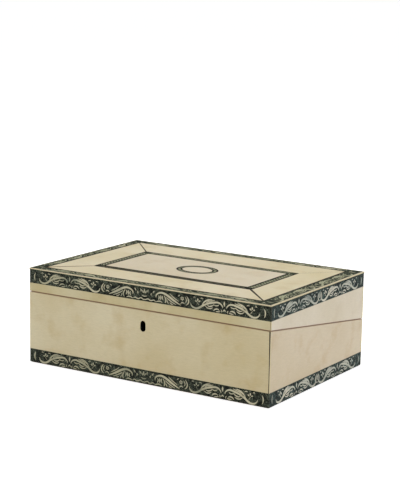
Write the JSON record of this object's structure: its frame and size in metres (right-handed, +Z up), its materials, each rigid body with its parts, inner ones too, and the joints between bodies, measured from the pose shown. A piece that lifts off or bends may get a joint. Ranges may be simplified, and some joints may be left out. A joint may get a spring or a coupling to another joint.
{
  "type": "writing slope",
  "caption": "Ivory-veneered writing box with engraved scroll bands; its sloping lid opens flat to a velvet writing surface over storage wells.",
  "frame": {"origin": "centre of the underside, on the surface the box rests on", "axes": "+X along the long side to the right of the lock side, +Y from the lock side to the hinge side, +Z up"},
  "size_m": [0.4068, 0.2755, 0.142],
  "materials": {
    "ivory": "satin",
    "lac": "satin",
    "carcase": "satin",
    "sandalwood": "satin",
    "brass": "satin",
    "steel": "brushed",
    "velvet": "matte",
    "glass": "polished"
  },
  "bodies": {
    "base": {"base_bottom": "carcase", "base_front": "carcase", "base_back": "carcase", "base_left": "carcase", "base_right": "carcase", "base_plaque_front": "ivory", "base_plaque_back": "ivory", "base_plaque_left": "ivory", "base_plaque_right": "ivory", "foot_band_front": "lac", "foot_band_back": "lac", "foot_band_left": "lac", "foot_band_right": "lac", "base_hinge_leaves": "brass", "base_hinge_screws": "brass", "hinge_pins": "brass", "lock_case": "brass", "partition": "sandalwood", "till_floor": "sandalwood", "divider_left": "sandalwood", "divider_right": "sandalwood", "pen_tray": "sandalwood", "ink_bottle_left": "glass", "ink_bottle_right": "glass", "bottle_cap_left": "brass", "bottle_cap_right": "brass"},
    "lid": {"lid_top": "carcase", "lid_front": "carcase", "lid_back": "carcase", "lid_left": "carcase", "lid_right": "carcase", "lid_plaque_front": "ivory", "lid_plaque_back": "ivory", "lid_plaque_left": "ivory", "lid_plaque_right": "ivory", "lid_band_front": "lac", "lid_band_back": "lac", "lid_band_left": "lac", "lid_band_right": "lac", "top_band_front": "lac", "top_band_back": "lac", "top_band_left": "lac", "top_band_right": "lac", "top_border_front": "ivory", "top_border_back": "ivory", "top_border_left": "ivory", "top_border_right": "ivory", "top_inner_band": "lac", "top_panel": "ivory", "top_oval": "lac", "lid_hinge_leaves": "brass", "lid_hinge_screws": "brass", "link_plate": "brass"},
    "base_writing_flap": {"base_flap": "carcase", "base_velvet": "velvet", "base_flap_pins": "brass"},
    "lid_writing_flap": {"lid_flap": "carcase", "lid_velvet": "velvet", "lid_flap_pins": "brass"},
    "bolt": {"lock_bolt": "steel"}
  },
  "joints": [
    {"name": "lid_hinge", "type": "hinge", "parent": "base", "child": "lid", "pos_m": [0, 0.1364, 0.071], "axis": [-1, 0, 0], "range_deg": [0, 180]},
    {"name": "base_flap_hinge", "type": "hinge", "parent": "base", "child": "base_writing_flap", "pos_m": [0, 0.11804, 0.0699], "axis": [-1, 0, 0], "range_deg": [0, 72]},
    {"name": "lid_flap_hinge", "type": "hinge", "parent": "lid", "child": "lid_writing_flap", "pos_m": [0, 0.11896, 0.07684], "axis": [1, 0, 0], "range_deg": [0, 72]},
    {"name": "bolt_slide", "type": "slide", "parent": "base", "child": "bolt", "axis": [1, 0, 0], "range_m": [0, 0.0044]}
  ],
  "couplings": [
    {"joint": "base_flap_hinge", "follows": "lid_hinge", "ratio": 0.4},
    {"joint": "lid_flap_hinge", "follows": "lid_hinge", "ratio": 0.4}
  ]
}
